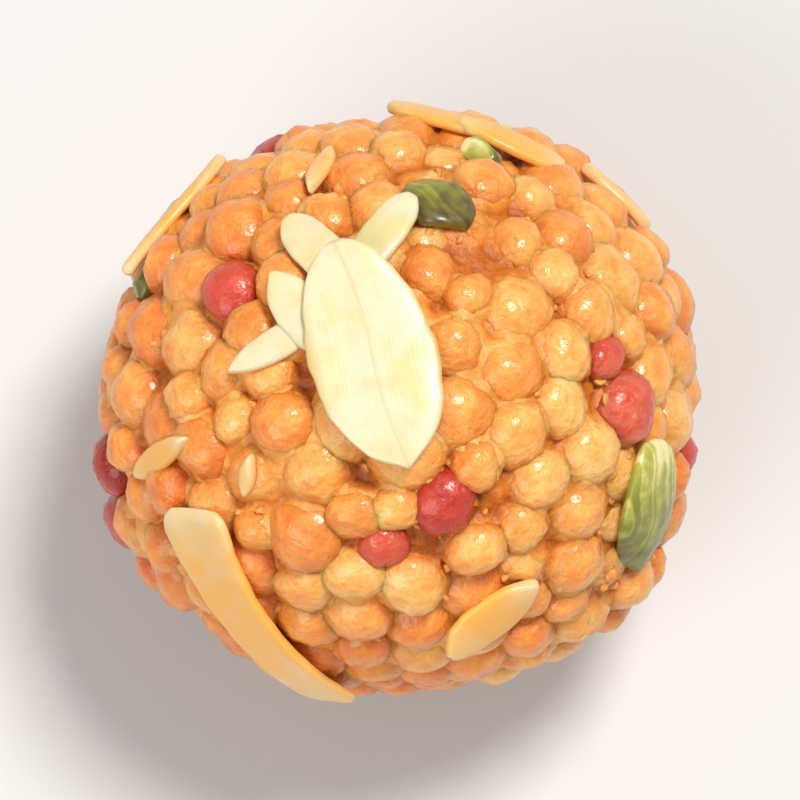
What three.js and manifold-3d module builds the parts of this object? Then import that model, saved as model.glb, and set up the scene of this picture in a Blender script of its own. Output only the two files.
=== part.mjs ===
// A boondi ladoo: a ball of boondi, which are drops of fried gram-flour batter soaked in syrup, rolled
// between the palms with flaked and slivered almonds, chopped pistachios and a few red boondi.
// Millimetres, +Z up. The origin is the middle of the small flat spot that the ball rests on.
import * as THREE from "three";
import { ConvexHull } from "three/addons/math/ConvexHull.js";
import { mergeVertices } from "three/addons/utils/BufferGeometryUtils.js";
import Module from "manifold-3d";

const wasm = await Module();
wasm.setup();

// The ball
const LADOO_WIDTH = 50;
const LADOO_RADIUS = LADOO_WIDTH / 2;
const REST_SINK = 1.5; // how much of the round underside is pressed flat
const VALLEY_DEPTH = 1.7; // from the crown of a boondi down to the syrup between its neighbours
const BALL_CENTRE = new THREE.Vector3(0, 0, LADOO_RADIUS - REST_SINK);

// Where the palms left the ball fuller or, below nought, flatter.
const SWELL_SPREAD = 14; // degrees
const SWELLS = [
  { bearing: 20, fall: 85, rise: 0.7 },
  { bearing: 97, fall: 82, rise: -1.7 },
  { bearing: 127, fall: 75, rise: -0.6 },
  { bearing: 207, fall: 88, rise: 1.2 },
  { bearing: 272, fall: 86, rise: -1 },
  { bearing: 325, fall: 88, rise: 1.3 },
  { bearing: 0, fall: 88, rise: -0.8 },
];

// The boondi
const BOONDI_WIDTH = 4.7;
const BOONDI_SIZE_SPREAD = 0.25; // share by which a boondi is larger or smaller than most
const BOONDI_SQUEEZE = 1.2; // how much wider a boondi is than deep, for being pressed against the others
const BOONDI_LIFT = 0.35; // how far a crown stands above or below its neighbours'
const BOONDI_COVER = 0.85; // share of the ball's skin that they cover
const BOONDI_SHOULDER = 48; // where a boondi's ring of facets breaks, in degrees from its crown
const BOONDI_SEED = 20;

// The red boondi of the upper half, each held at its bearing and fall while the rest settle round it. Its
// lift is how far its crown stands above or below its neighbours'.
const RED_BOONDI = [
  { bearing: 157, fall: 39, width: 4.8, lift: 0.2 },
  { bearing: 1.5, fall: 44.5, width: 3.4, lift: 0 },
  { bearing: -10, fall: 52, width: 5.6, lift: 0.5 },
  { bearing: -73.5, fall: 32, width: 4.8, lift: 0.3 },
  { bearing: -95, fall: 39.5, width: 3.6, lift: -0.1 },
  { bearing: -166, fall: 84, width: 4.6, lift: 0.3 },
  { bearing: -12, fall: 90, width: 4.4, lift: 0 },
  { bearing: 117, fall: 86, width: 5, lift: 0.2 },
];
const FOOT = { bearing: 0, fall: 180, width: 4.7, lift: 0 }; // the boondi that the ball stands on

// How the boondi settle against each other
const SHAKE = 0.22; // in shares of the ball's radius
const SETTLING_ROUNDS = 40;
const CLOSENESS = 0.97; // centres come no nearer than this share of the touching distance
const GOLDEN_ANGLE = Math.PI * (3 - Math.sqrt(5));

// The nuts
const THICKNESS = { almond: 1.1, pistachio: 2.6 };
const NUT_BITE = 0.45; // how deep a nut is pressed into the boondi under it
const MOST_SUNK = 1.2; // how far it pushes them in
const ALMOND_OUTLINE_STEPS = 5;

// Each nut lies at a bearing round the ball, in degrees from +X, and at a fall from its top. Its tip points
// along a heading, in degrees from the level line; dip turns the tip into the ball, proud lifts the nut clear
// of the skin, and bend is the radius it curves to. Tip and butt are the widths of its ends, as shares of its
// width. Belly moves its widest part toward the tip, by a share of its length.
const ALMONDS = [
  // the cluster on the crown
  {
    bearing: -163, fall: 5.3, heading: 1, proud: 0.5,
    length: 19.4, width: 10.2, tip: 0.07, butt: 0.34, belly: 0.08,
  },
  { bearing: 129, fall: 23, heading: 91, length: 10, width: 3.8, tip: 0.3, butt: 0.6, proud: 0.4, dip: 3 },
  { bearing: 101, fall: 21, heading: 45, length: 10, width: 3.4, tip: 0.3, butt: 0.6, proud: 0.4, dip: 4 },
  { bearing: 177, fall: 23.5, heading: 121, length: 9, width: 2.7, tip: 0.5, butt: 0.15, proud: 0.2, dip: 3 },
  { bearing: 160, fall: 19.5, heading: 55, length: 8.6, width: 4.1, tip: 0.2, butt: 0.2, proud: 0.5, dip: 5 },
  // the front
  { bearing: -121, fall: 71, heading: -43, length: 23.4, width: 5.8, tip: 1.1, butt: 1.35, proud: 0.5, bend: 26 },
  { bearing: -69.5, fall: 61, heading: 28, length: 9.8, width: 4.8, tip: 0.15, butt: 0.4, proud: -0.1, dip: 6 },
  { bearing: -142, fall: 39, heading: 123, length: 3.8, width: 1.5, tip: 0.3, butt: 0.5, proud: 0 },
  // the sides
  { bearing: -160, fall: 57, heading: 90, length: 10, width: 2.2, tip: 0.3, butt: 0.5, proud: 0, dip: -8 },
  { bearing: 142, fall: 77, heading: -175, length: 13, width: 3.6, tip: 0.4, butt: 0.4, proud: 0 },
  { bearing: 42, fall: 77, heading: 7, length: 7.5, width: 2.6, tip: 0.3, butt: 0.3, proud: 0.2, bend: 24 },
  // the back
  { bearing: 80.5, fall: 62.5, heading: -20, length: 10, width: 4, tip: 0.5, butt: 0.6, proud: 0.4, bend: 30 },
  { bearing: 64.5, fall: 59.5, heading: 11, length: 9.6, width: 3.6, tip: 0.3, butt: 0.6, proud: 0.2, bend: 26 },
  { bearing: 112, fall: 45, heading: 57, length: 6, width: 1.8, tip: 0.3, butt: 0.5, proud: -0.1 },
];
const PISTACHIOS = [
  { bearing: 76, fall: 31.5, heading: -32, length: 6.4, width: 5.4, proud: 0.4 },
  { bearing: 69.5, fall: 51.5, heading: -25, length: 3.8, width: 2.8, proud: 0.3 },
  { bearing: -28, fall: 68, heading: 40, length: 13, width: 7.4, proud: 0.4, bend: 30 },
  { bearing: 157, fall: 72, heading: 12, length: 3.8, width: 2.6, proud: -0.2 },
];

// The underside has nuts of the same kinds, strewn by chance between two sizes.
const STREWN_SEED = 381;
const STREWN_FALL = [114, 148];
const STREWN_ENDS = { tip: 0.3, butt: 0.5, proud: 0 };
const STREWN = [
  { kind: "almond", count: 7, lengths: [6, 13], widths: [2, 5] },
  { kind: "pistachio", count: 3, lengths: [5, 9], widths: [3, 4.5] },
];

const UP = new THREE.Vector3(0, 0, 1);

// Repeatable random numbers, from 0 to 1 or between two others.
function dice(seed) {
  let state = seed;
  return (low = 0, high = 1) => {
    state = (Math.imul(state, 1664525) + 1013904223) >>> 0;
    return low + ((high - low) * state) / 2 ** 32;
  };
}

// The direction out of the ball at a bearing and a fall, both in degrees.
function outwardAt(bearing, fall) {
  const b = THREE.MathUtils.degToRad(bearing);
  const f = THREE.MathUtils.degToRad(fall);
  return new THREE.Vector3(Math.sin(f) * Math.cos(b), Math.sin(f) * Math.sin(b), Math.cos(f));
}

// The distance from the ball's centre to its skin: round, apart from the swells.
function skinRadius(outward) {
  const sharpness = 1 / THREE.MathUtils.degToRad(SWELL_SPREAD) ** 2;
  let reach = LADOO_RADIUS;
  for (const { middle, rise } of swells) reach += rise * Math.exp(sharpness * (middle.dot(outward) - 1));
  return reach;
}

// One closed solid from a three.js geometry.
function solidFrom(geometry) {
  const bare = geometry.index ? geometry.toNonIndexed() : geometry.clone();
  bare.deleteAttribute("normal");
  bare.deleteAttribute("uv");
  const merged = mergeVertices(bare, 1e-4);
  const vertProperties = new Float32Array(merged.attributes.position.array);
  const triVerts = new Uint32Array(merged.index.array);
  return new wasm.Manifold(new wasm.Mesh({ numProp: 3, vertProperties, triVerts }));
}

// And back again, to a geometry that three.js can show.
function geometryFrom(solid) {
  const { vertProperties, triVerts } = solid.getMesh();
  const geometry = new THREE.BufferGeometry();
  geometry.setAttribute("position", new THREE.BufferAttribute(vertProperties, 3));
  geometry.setIndex(new THREE.BufferAttribute(triVerts, 1));
  geometry.computeVertexNormals();
  return geometry;
}

// All nuts, those that the lists name and those strewn on the underside, each with its place.
function layNuts() {
  const nuts = ALMONDS.map((nut) => ({ ...nut, kind: "almond" }));
  nuts.push(...PISTACHIOS.map((nut) => ({ ...nut, kind: "pistachio" })));
  const roll = dice(STREWN_SEED);
  const [top, bottom] = STREWN_FALL.map((fall) => outwardAt(0, fall).z);
  for (const { kind, count, lengths, widths } of STREWN) {
    for (let i = 0; i < count; i++) {
      const bearing = roll(0, 360);
      const fall = THREE.MathUtils.radToDeg(Math.acos(roll(top, bottom)));
      const heading = roll(0, 180);
      const [length, width] = [roll(...lengths), roll(...widths)];
      nuts.push({ ...STREWN_ENDS, kind, bearing, fall, heading, length, width });
    }
  }
  return nuts.map((nut) => ({ ...nut, thickness: THICKNESS[nut.kind], place: placeOf(nut) }));
}

// The matrix that carries a nut from the origin, where it lies flat along X, onto the ball.
function placeOf({ kind, bearing, fall, heading, proud, dip = 0 }) {
  const outward = outwardAt(bearing, fall);
  const level = new THREE.Vector3().crossVectors(UP, outward).normalize();
  const along = level.applyAxisAngle(outward, THREE.MathUtils.degToRad(heading));
  const across = new THREE.Vector3().crossVectors(outward, along);
  const tilted = new THREE.Matrix4().makeRotationY(THREE.MathUtils.degToRad(dip));
  const height = skinRadius(outward) + proud - THICKNESS[kind] / 2;
  const centre = outward.clone().multiplyScalar(height);
  return new THREE.Matrix4().makeBasis(along, across, outward).multiply(tilted).setPosition(centre);
}

// The boondi of the skin, evenly spread from its top down and then shaken out of line.
function spreadBoondi(count) {
  const roll = dice(BOONDI_SEED);
  const swing = () => roll(-1, 1);
  return Array.from({ length: count }, (_, i) => {
    const height = 1 - (2 * i + 1) / count;
    const reach = Math.sqrt(1 - height ** 2);
    const turn = i * GOLDEN_ANGLE;
    const outward = new THREE.Vector3(reach * Math.cos(turn), reach * Math.sin(turn), height);
    outward.add(new THREE.Vector3(swing(), swing(), swing()).multiplyScalar(SHAKE / 2)).normalize();
    const radius = (BOONDI_WIDTH / 2) * (1 + BOONDI_SIZE_SPREAD * swing());
    return { outward, radius, lift: BOONDI_LIFT * swing() };
  });
}

// Moves the boondi nearest to a spot onto it, gives it its size, and holds it there.
function holdBoondi(boondi, { bearing, fall, width, lift }) {
  const spot = outwardAt(bearing, fall);
  const free = boondi.filter((one) => !one.held);
  const nearest = free.reduce((best, one) => (one.outward.dot(spot) > best.outward.dot(spot) ? one : best));
  nearest.outward.copy(spot);
  Object.assign(nearest, { radius: width / 2, lift, held: true });
}

// One round of settling: boondi that crowd each other move apart along the skin.
function pushApart(boondi, bedRadius) {
  const pushes = boondi.map(() => new THREE.Vector3());
  boondi.forEach((one, i) => {
    for (let j = i + 1; j < boondi.length; j++) {
      const apart = one.outward.clone().sub(boondi[j].outward);
      const wanted = (CLOSENESS * (one.radius + boondi[j].radius)) / bedRadius;
      const distance = apart.length();
      if (distance >= wanted) continue;
      apart.multiplyScalar((wanted - distance) / distance / 2);
      pushes[i].add(apart);
      pushes[j].sub(apart);
    }
  });
  boondi.forEach((one, i) => {
    if (!one.held) one.outward.add(pushes[i]).normalize();
  });
}

// The boondi where they lie in the finished ball: pressed together, and sunk where a nut lies on them.
function settleBoondi(nuts) {
  const bedRadius = LADOO_RADIUS - BOONDI_WIDTH / 2;
  const boondi = spreadBoondi(Math.round((BOONDI_COVER * 16 * bedRadius ** 2) / BOONDI_WIDTH ** 2));
  for (const spot of [...RED_BOONDI, FOOT]) holdBoondi(boondi, spot);
  for (let round = 0; round < SETTLING_ROUNDS; round++) pushApart(boondi, bedRadius);
  for (const one of boondi) {
    const crown = skinRadius(one.outward) + one.lift;
    one.centre = one.outward.clone().multiplyScalar(crown - one.radius);
    for (const nut of nuts) bedUnder(nut, one);
  }
  return boondi;
}

// Sinks a boondi that lies under a nut until the nut bites into its crown.
function bedUnder({ place, length, width, thickness }, one) {
  const seen = one.centre.clone().applyMatrix4(place.clone().invert());
  const inside = (seen.x / (length / 2 + one.radius / 2)) ** 2 + (seen.y / (width / 2 + one.radius / 2)) ** 2;
  const above = seen.z + one.radius - (NUT_BITE - thickness / 2);
  if (inside < 1 && above > 0 && seen.z < one.radius)
    one.centre.addScaledVector(one.outward, -Math.min(above, MOST_SUNK));
}

// The ball's surface. Each boondi is a faceted dome: a crown, a ring of shoulders and a rim where it meets
// its neighbours. The rim's corners are the pockets between three boondi, which are the faces of a hull
// round all of them, and halfway along its sides are the saddles between two.
function boondiBall(boondi) {
  const boondiAt = new Map();
  for (const one of boondi) {
    const room = 1 + (one.radius / LADOO_RADIUS) ** 2 / 2; // a larger boondi stands out and takes more room
    boondiAt.set(one.outward.clone().multiplyScalar(room), one);
  }
  const hull = new ConvexHull().setFromPoints([...boondiAt.keys()]);
  const corners = [];
  for (const face of hull.faces) {
    let edge = face.edge;
    do {
      const one = boondiAt.get(edge.tail().point);
      const other = boondiAt.get(edge.head().point);
      const [pocket, nextPocket] = [edge.twin.face, face].map((side) => side.normal);
      const saddle = pocket.clone().add(nextPocket).normalize();
      const crown = one.centre.clone().addScaledVector(one.outward, one.radius);
      const [shoulder, nextShoulder] = [shoulderOf(one, pocket), shoulderOf(one, nextPocket)];
      const [low, nextLow] = [valleyAlong(pocket, []), valleyAlong(nextPocket, [])];
      const high = valleyAlong(saddle, [one, other]);
      corners.push(crown, shoulder, nextShoulder, shoulder, low, high);
      corners.push(shoulder, high, nextShoulder, nextShoulder, high, nextLow);
      edge = edge.next;
    } while (edge !== face.edge);
  }
  return solidFrom(new THREE.BufferGeometry().setFromPoints(corners));
}

// The point on a boondi's shoulder that lies toward a pocket.
function shoulderOf({ outward, centre, radius }, pocket) {
  const sideways = pocket.clone().addScaledVector(outward, -pocket.dot(outward)).normalize();
  const slope = THREE.MathUtils.degToRad(BOONDI_SHOULDER);
  const shoulder = centre.clone().addScaledVector(outward, radius * Math.cos(slope));
  return shoulder.addScaledVector(sideways, BOONDI_SQUEEZE * radius * Math.sin(slope));
}

// The lowest point between boondi along a direction: where two touch, or on the syrup.
function valleyAlong(direction, touching) {
  let reach = skinRadius(direction) - VALLEY_DEPTH;
  for (const { outward, centre, radius } of touching) {
    // Where the direction leaves a boondi, by the larger root of a quadratic in the distance from the centre.
    const upward = direction.dot(outward);
    const square = upward ** 2 + (1 - upward ** 2) / BOONDI_SQUEEZE ** 2;
    const half = upward * centre.length();
    const inside = half ** 2 - square * (centre.lengthSq() - radius ** 2);
    if (inside > 0) reach = Math.max(reach, (half + Math.sqrt(inside)) / square);
  }
  return direction.clone().multiplyScalar(reach);
}

// A slice of almond, widest in the middle or nearer its tip, and bent with the ball where it is thin.
function almondSolid({ length, width, thickness, tip, butt, belly = 0, bend, place }) {
  const outline = new THREE.Shape();
  const bulge = (width / 2) * (4 / 3 - (tip + butt) / 6); // brings the curve out to the full width
  outline.moveTo(length / 2, (tip * width) / 2);
  const [fore, aft] = [length * (belly + 0.25), length * (belly - 0.25)];
  outline.bezierCurveTo(fore, bulge, aft, bulge, -length / 2, (butt * width) / 2);
  outline.lineTo(-length / 2, (-butt * width) / 2);
  outline.bezierCurveTo(aft, -bulge, fore, -bulge, length / 2, (-tip * width) / 2);
  const geometry = new THREE.ExtrudeGeometry(outline, {
    depth: thickness,
    bevelEnabled: false,
    curveSegments: ALMOND_OUTLINE_STEPS,
  });
  geometry.translate(0, 0, -thickness / 2);
  return solidFrom(bent(geometry, bend).applyMatrix4(place));
}

// A chopped piece of pistachio.
function pistachioSolid({ length, width, thickness, bend, place }) {
  const geometry = new THREE.IcosahedronGeometry(1, 1);
  geometry.scale(length / 2, width / 2, thickness / 2);
  return solidFrom(bent(geometry, bend).applyMatrix4(place));
}

// Curves a flat piece down at both ends, along X, to a radius.
function bent(geometry, radius) {
  if (!radius) return geometry;
  const position = geometry.attributes.position;
  for (let i = 0; i < position.count; i++)
    position.setZ(i, position.getZ(i) - position.getX(i) ** 2 / (2 * radius));
  return geometry;
}

// The solid without the pockets of air that are sealed in under the nuts.
function withoutPockets(solid) {
  const shells = solid.decompose();
  return shells.reduce((best, shell) => (shell.volume() > best.volume() ? shell : best));
}

// Everything below the resting plane.
function underTheFloor() {
  const slab = new THREE.BoxGeometry(2 * LADOO_WIDTH, 2 * LADOO_WIDTH, LADOO_WIDTH);
  slab.translate(0, 0, -LADOO_WIDTH / 2);
  return solidFrom(slab);
}

const swells = SWELLS.map(({ bearing, fall, rise }) => ({ middle: outwardAt(bearing, fall), rise }));
const nuts = layNuts();
let ball = boondiBall(settleBoondi(nuts));
for (const nut of nuts) ball = ball.add(nut.kind === "almond" ? almondSolid(nut) : pistachioSolid(nut));
ball = withoutPockets(ball.translate(BALL_CENTRE.toArray()).subtract(underTheFloor()));

const sugaredBoondi = new THREE.MeshStandardMaterial({ color: 0xe8913c, roughness: 0.35, metalness: 0 });
const ladoo = new THREE.Mesh(geometryFrom(ball), sugaredBoondi);
ladoo.name = "ladoo";

const group = new THREE.Group();
group.add(ladoo);
export default group;
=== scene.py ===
"""A boondi ladoo on a pale table: a sweet ball of fried gram-flour drops, almonds and pistachios in syrup.

Metres, +Z up. The sweet stands on its flat spot at the origin, in the frame of its CAD solid.
"""
import math

import bmesh
import bpy
import numpy as np
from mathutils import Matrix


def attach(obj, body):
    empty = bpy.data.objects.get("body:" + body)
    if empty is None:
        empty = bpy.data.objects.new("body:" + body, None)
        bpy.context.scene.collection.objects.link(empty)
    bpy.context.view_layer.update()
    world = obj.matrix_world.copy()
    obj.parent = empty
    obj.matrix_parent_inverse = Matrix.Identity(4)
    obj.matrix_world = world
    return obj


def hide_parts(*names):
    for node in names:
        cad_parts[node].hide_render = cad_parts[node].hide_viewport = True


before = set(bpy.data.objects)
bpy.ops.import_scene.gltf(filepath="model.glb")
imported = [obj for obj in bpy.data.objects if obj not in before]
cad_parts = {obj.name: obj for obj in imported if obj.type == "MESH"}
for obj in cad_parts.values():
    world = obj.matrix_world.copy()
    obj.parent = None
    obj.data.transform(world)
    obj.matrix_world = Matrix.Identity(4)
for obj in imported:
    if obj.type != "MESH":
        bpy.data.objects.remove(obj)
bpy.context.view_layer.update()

# ---------------------------------------------------------------- The view
# The eye is almost straight above the sweet, as over a plate on a table. It is far enough off that the ball
# is hardly widened by nearness, and the picture takes in the ball with a little of the table round it.
MM = 0.001
BALL_CENTRE = np.array([0, 0, 23.5 * MM])
EYE_ELEVATION = math.radians(80)
EYE_DISTANCE = 0.6
VIEW_WIDTH = 66 * MM  # what the picture takes in, across the middle of the ball

camera_data = bpy.data.cameras.new("camera")
camera_data.lens = camera_data.sensor_width * EYE_DISTANCE / VIEW_WIDTH
camera_data.clip_start = 0.01
camera = bpy.data.objects.new("camera", camera_data)
toward_eye = np.array([0, -math.cos(EYE_ELEVATION), math.sin(EYE_ELEVATION)])
camera.location = BALL_CENTRE + EYE_DISTANCE * toward_eye
camera.rotation_euler = (math.pi / 2 - EYE_ELEVATION, 0, 0)
bpy.context.collection.objects.link(camera)
bpy.context.scene.camera = camera
bpy.context.scene.view_settings.view_transform = "Standard"


# ---------------------------------------------------------------- The table and the light
# A plain pale table top of matt laminate, far wider than the picture. A wide soft lamp hangs above the far
# right, a wider and weaker one above the near left, and a pale room lights the rest.
def linear(hex_colour):
    """The linear RGBA of an sRGB hex colour."""
    channels = [int(hex_colour[i : i + 2], 16) / 255 for i in (1, 3, 5)]
    return [c / 12.92 if c <= 0.04045 else ((c + 0.055) / 1.055) ** 2.4 for c in channels] + [1.0]


def add_node(tree, kind, inputs=None, **settings):
    """Adds a node, gives it its settings, and sets its inputs or links them to other nodes' outputs."""
    node = tree.nodes.new(kind)
    for name, value in settings.items():
        setattr(node, name, value)
    for key, value in (inputs or {}).items():
        if isinstance(value, bpy.types.NodeSocket):
            tree.links.new(value, node.inputs[key])
        else:
            node.inputs[key].default_value = value
    return node


def new_material(name):
    """An empty node material: its tree and its Principled shader."""
    material = bpy.data.materials.new(name)
    material.use_nodes = True
    return material, material.node_tree, material.node_tree.nodes["Principled BSDF"]


def new_object(name, mesh):
    """An object at the origin, unturned, that holds a mesh."""
    made = bpy.data.objects.new(name, mesh)
    bpy.context.collection.objects.link(made)
    return made


TABLE_SIZE = 3.0
table_mesh = bpy.data.meshes.new("table")
low, high = -TABLE_SIZE / 2, TABLE_SIZE / 2
table_mesh.from_pydata([(low, low, 0), (high, low, 0), (high, high, 0), (low, high, 0)], [], [(0, 1, 2, 3)])
table = new_object("table", table_mesh)
# Matt white laminate: plain and even, so that the shadow on it stays soft
laminate, tree, shader = new_material("white_laminate")
shader.inputs["Base Color"].default_value = linear("#D2D2D2")
shader.inputs["Roughness"].default_value = 0.6
table_mesh.materials.append(laminate)

LAMPS = [
    # name, place and width in metres, watts and colour
    ("key", (0.22, 0.24, 0.80), 0.24, 6.5, "#FFFAF4"),
    ("fill", (-0.45, -0.45, 0.55), 0.60, 3.3, "#FFFFFF"),
]
for name, place, width, watts, colour in LAMPS:
    lamp_data = bpy.data.lights.new(name, "AREA")
    lamp_data.shape = "DISK"
    lamp_data.size = width
    lamp_data.energy = watts
    lamp_data.color = linear(colour)[:3]
    lamp = bpy.data.objects.new(name, lamp_data)
    lamp.location = place
    toward_ball = BALL_CENTRE - np.array(place)
    sideways = math.hypot(toward_ball[0], toward_ball[1])
    heading = math.atan2(-toward_ball[0], toward_ball[1])
    lamp.rotation_euler = (math.atan2(sideways, -toward_ball[2]), 0, heading)
    bpy.context.collection.objects.link(lamp)

ROOM_BRIGHTNESS = 0.38
world = bpy.data.worlds.new("studio")
world.use_nodes = True
world.node_tree.nodes["Background"].inputs["Color"].default_value = linear("#FBFAF8")
world.node_tree.nodes["Background"].inputs["Strength"].default_value = ROOM_BRIGHTNESS
bpy.context.scene.world = world

# ---------------------------------------------------------------- Almonds
# Blanched almonds, cut by machine into flakes and slivers about a millimetre thick. They are pressed into
# the ball as it is rolled, so each lies along its skin, and the syrup stains all but those on the crown.
LADOO_RADIUS = 25 * MM
SWELL_SPREAD = math.radians(14)  # how far a swell of the ball reaches
SWELLS = [
    # bearing, fall, rise in mm: where the palms left the ball fuller or flatter
    (20, 85, 0.7),
    (97, 82, -1.7),
    (127, 75, -0.6),
    (207, 88, 1.2),
    (272, 86, -1.0),
    (325, 88, 1.3),
    (0, 88, -0.8),
]


def outward_at(bearing, fall):
    """The way out of the ball at a bearing from +X and a fall from its top, in degrees."""
    b, f = math.radians(bearing), math.radians(fall)
    return np.array([math.sin(f) * math.cos(b), math.sin(f) * math.sin(b), math.cos(f)])


def skin_radius(outward):
    """How far the skin is from the ball's centre, along one or many directions."""
    reach = np.full(np.shape(outward)[:-1], LADOO_RADIUS)
    for bearing, fall, rise in SWELLS:
        nearness = outward @ outward_at(bearing, fall) - 1
        reach += rise * MM * np.exp(nearness / SWELL_SPREAD**2)
    return reach


class Dice:
    """Repeatable random numbers from 0 to 1."""

    def __init__(self, seed):
        self.state = seed

    def roll(self, low=0.0, high=1.0):
        self.state = (self.state * 1664525 + 1013904223) % 2**32
        return low + (high - low) * self.state / 2**32


# A nut lies at a bearing round the ball and a fall from its top, and its tip points along a heading from the
# level line, all in degrees. Length, width, how proud of the skin it lies and the radius it bends to are in
# mm, tip and butt are the widths of its ends as shares of its width, and dip turns its tip into the ball by
# degrees. Stain is how far syrup has soaked in, and belly moves its widest part toward the tip by a share of
# its length.
ALMOND_THICKNESS = 1.1
ALMOND_KEYS = "bearing fall heading length width tip butt proud dip bend stain belly".split()
ALMONDS = [
    # the cluster on the crown
    (-163, 5.3, 1, 19.4, 10.2, 0.07, 0.34, 0.5, 0, 0, 0.0, 0.08),
    (129, 23, 91, 10, 3.8, 0.3, 0.6, 0.4, 3, 0, 0.05),
    (101, 21, 45, 10, 3.4, 0.3, 0.6, 0.4, 4, 0, 0.0),
    (177, 23.5, 121, 9, 2.7, 0.5, 0.15, 0.2, 3, 0, 0.1),
    (160, 19.5, 55, 8.6, 4.1, 0.2, 0.2, 0.5, 5, 0, 0.05),
    # the front
    (-121, 71, -43, 23.4, 5.8, 1.1, 1.35, 0.5, 0, 26, 0.95),
    (-69.5, 61, 28, 9.8, 4.8, 0.15, 0.4, -0.1, 6, 0, 1.0),
    (-142, 39, 123, 3.8, 1.5, 0.3, 0.5, 0, 0, 0, 0.6),
    # the sides
    (-160, 57, 90, 10, 2.2, 0.3, 0.5, 0, -8, 0, 1.0),
    (142, 77, -175, 13, 3.6, 0.4, 0.4, 0, 0, 0, 0.85),
    (42, 77, 7, 7.5, 2.6, 0.3, 0.3, 0.2, 0, 24, 0.7),
    # the back
    (80.5, 62.5, -20, 10, 4, 0.5, 0.6, 0.4, 0, 30, 0.95),
    (64.5, 59.5, 11, 9.6, 3.6, 0.3, 0.6, 0.2, 0, 26, 1.0),
    (112, 45, 57, 6, 1.8, 0.3, 0.5, -0.1, 0, 0, 0.7),
]
# Paleness is how much of a pistachio is bare flesh, and fade how much paler its tip is than its butt.
PISTACHIO_THICKNESS = 2.6
PISTACHIO_KEYS = "bearing fall heading length width proud bend paleness fade".split()
PISTACHIOS = [
    (76, 31.5, -32, 6.4, 5.4, 0.4, 0, 0.12, 0.1),
    (69.5, 51.5, -25, 3.8, 2.8, 0.3, 0, 0.4, 0.2),
    (-28, 68, 40, 13, 7.4, 0.4, 30, 0.32, 0.3),
    (157, 72, 12, 3.8, 2.6, -0.2, 0, 0.1, 0.1),
]
# The underside has nuts of the same kinds, strewn by chance.
STREWN_SEED = 381
STREWN_FALL = (114, 148)
STREWN_ALMONDS = 7
STREWN_ALMOND_LENGTHS = (6, 13)
STREWN_ALMOND_WIDTHS = (2, 5)
STREWN_ALMOND = {"tip": 0.3, "butt": 0.5, "stain": 0.7}
STREWN_PISTACHIOS = 3
STREWN_PISTACHIO_LENGTHS = (5, 9)
STREWN_PISTACHIO_WIDTHS = (3, 4.5)
STREWN_PISTACHIO = {"paleness": 0.2, "fade": 0.2}


def strewn(dice, lengths, widths, looks):
    """A nut of the underside, its size and place drawn by chance."""
    low, high = (math.cos(math.radians(fall)) for fall in STREWN_FALL)
    return looks | {
        "bearing": 360 * dice.roll(),
        "fall": math.degrees(math.acos(dice.roll(low, high))),
        "heading": 180 * dice.roll(),
        "length": dice.roll(*lengths),
        "width": dice.roll(*widths),
        "proud": 0,
    }


strewing = Dice(STREWN_SEED)
almonds = [dict(zip(ALMOND_KEYS, row)) for row in ALMONDS]
for _ in range(STREWN_ALMONDS):
    almonds.append(strewn(strewing, STREWN_ALMOND_LENGTHS, STREWN_ALMOND_WIDTHS, STREWN_ALMOND))
pistachios = [dict(zip(PISTACHIO_KEYS, row)) for row in PISTACHIOS]
for _ in range(STREWN_PISTACHIOS):
    pistachios.append(strewn(strewing, STREWN_PISTACHIO_LENGTHS, STREWN_PISTACHIO_WIDTHS, STREWN_PISTACHIO))
for nuts, thickness in ((almonds, ALMOND_THICKNESS), (pistachios, PISTACHIO_THICKNESS)):
    for nut in nuts:
        for size in ("length", "width", "proud", "bend"):
            nut[size] = nut.get(size, 0) * MM
        nut["thickness"] = thickness * MM
        outward = outward_at(nut["bearing"], nut["fall"])
        level = np.cross([0, 0, 1], outward)
        level /= np.linalg.norm(level)
        heading = math.radians(nut["heading"])
        along = math.cos(heading) * level + math.sin(heading) * np.cross(outward, level)
        across = np.cross(outward, along)
        dip = math.radians(nut.get("dip", 0))
        to_tip = math.cos(dip) * along - math.sin(dip) * outward
        to_face = math.sin(dip) * along + math.cos(dip) * outward
        nut["turn"] = np.column_stack([to_tip, across, to_face])
        nut["centre"] = outward * (skin_radius(outward) + nut["proud"] - nut["thickness"] / 2)


def mesh_from(name, points, faces, **kept):
    """A smooth mesh from arrays of points and faces, with named numbers kept at its points."""
    mesh = bpy.data.meshes.new(name)
    mesh.from_pydata(points.tolist(), [], [tuple(face) for face in faces])
    for key, values in kept.items():
        mesh.attributes.new(key, "FLOAT", "POINT").data.foreach_set("value", np.hstack(values))
    mesh.shade_smooth()
    mesh.update()
    return mesh


def bezier(ends_and_controls, t):
    """Points of a cubic curve."""
    a, b, c, d = ends_and_controls
    return (1 - t) ** 3 * a + 3 * (1 - t) ** 2 * t * b + 3 * (1 - t) * t**2 * c + t**3 * d


ALMOND_STATIONS = 44  # cross-sections along a slice
ALMOND_ROUND = 28  # points round each
EDGE_ROUNDING = 0.45 * MM
CORNER_ROUNDING = 2.1 * MM
ROUNDEST = 0.98  # how far round a corner goes before the slice is closed off, so that no section is nil
THINNEST = 0.0004  # the square of the share of its thickness that is left at the very ends
NICKED = 0.03  # how far its cut edges wander, as a share of the half-width
WARPED_ALONG, WARPED_ACROSS = 0.2 * MM, 0.1 * MM
SEAM_FROM = 6 * MM  # slices at least this wide are cut across the seam between the kernel's halves
SEAM_WANDER = 0.3 * MM
NO_SEAM = 0.5  # where a slice without a seam lies on the scale from the seam, at 0, to the rim, at 1
FIBRES_APART = 0.25  # in mm, as are the two that follow
GRAIN_WANDER = 0.35
NEXT_GRAIN = 7  # how far along the pattern the next slice's grain begins
PALER_ENDS = 0.7  # the share of its stain that a slice loses toward its ends
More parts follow.
